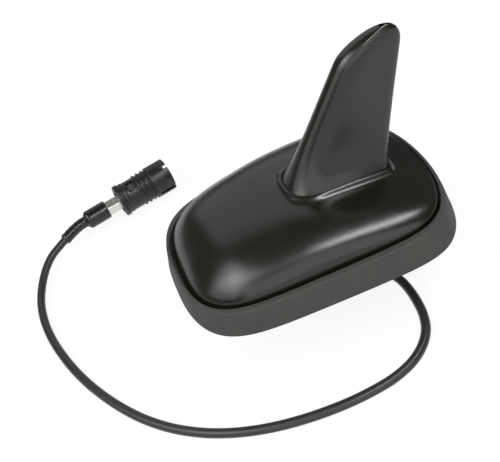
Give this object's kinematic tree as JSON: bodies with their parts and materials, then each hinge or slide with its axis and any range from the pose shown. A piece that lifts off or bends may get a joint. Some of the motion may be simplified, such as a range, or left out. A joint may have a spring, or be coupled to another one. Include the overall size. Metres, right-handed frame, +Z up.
{
  "type": "shark fin aerial",
  "caption": "Roof aerial for a car: rubber skirt, moulded cover with a backward-leaning fin, hollow mounting stud and a coaxial lead ending in a plug.",
  "frame": {"origin": "on the stud's axis in the plane of the roof, where the seal and the skirt rest", "axes": "+X towards the car's tail, -X towards the nose, +Z up out of the roof, the stud points down -Z"},
  "size_m": [0.2121, 0.2161, 0.1255],
  "materials": {
    "cover_plastic": "satin moulded",
    "skirt_rubber": "matte",
    "plate_casting": "die cast",
    "plated_steel": "zinc plated",
    "seal_rubber": "matte",
    "board_laminate": "solder mask",
    "chip_epoxy": "moulded",
    "tinned_sheet": "tinned",
    "former_nylon": "moulded",
    "enamelled_wire": "enamelled",
    "cable_jacket": "extruded",
    "shrink_tube": "gloss",
    "nickel_plate": "nickel plated",
    "plug_plastic": "moulded",
    "retainer_plastic": "moulded",
    "white_insulator": "turned",
    "gold_pin": "gold plated"
  },
  "bodies": {
    "root": {"dome_cover": "cover_plastic", "fin_shell": "cover_plastic", "rubber_skirt": "skirt_rubber", "base_plate": "plate_casting", "threaded_stud": "plated_steel", "roof_seal": "seal_rubber", "cable_grommet": "seal_rubber", "cover_screws": "plated_steel", "circuit_board": "board_laminate", "board_screws": "plated_steel", "shield_can": "tinned_sheet", "board_chips": "chip_epoxy", "coil_former": "former_nylon", "antenna_coil": "enamelled_wire", "contact_clip": "tinned_sheet", "cable_clamp": "tinned_sheet", "clamp_screw": "plated_steel", "core_tail": "enamelled_wire", "coax_cable": "cable_jacket", "heat_shrink_sleeve": "shrink_tube", "crimp_ferrule": "nickel_plate", "plug_housing": "plug_plastic", "plug_retainer": "retainer_plastic", "plug_contact_tube": "nickel_plate", "plug_insulator": "white_insulator", "plug_pin": "gold_pin"}
  },
  "joints": []
}
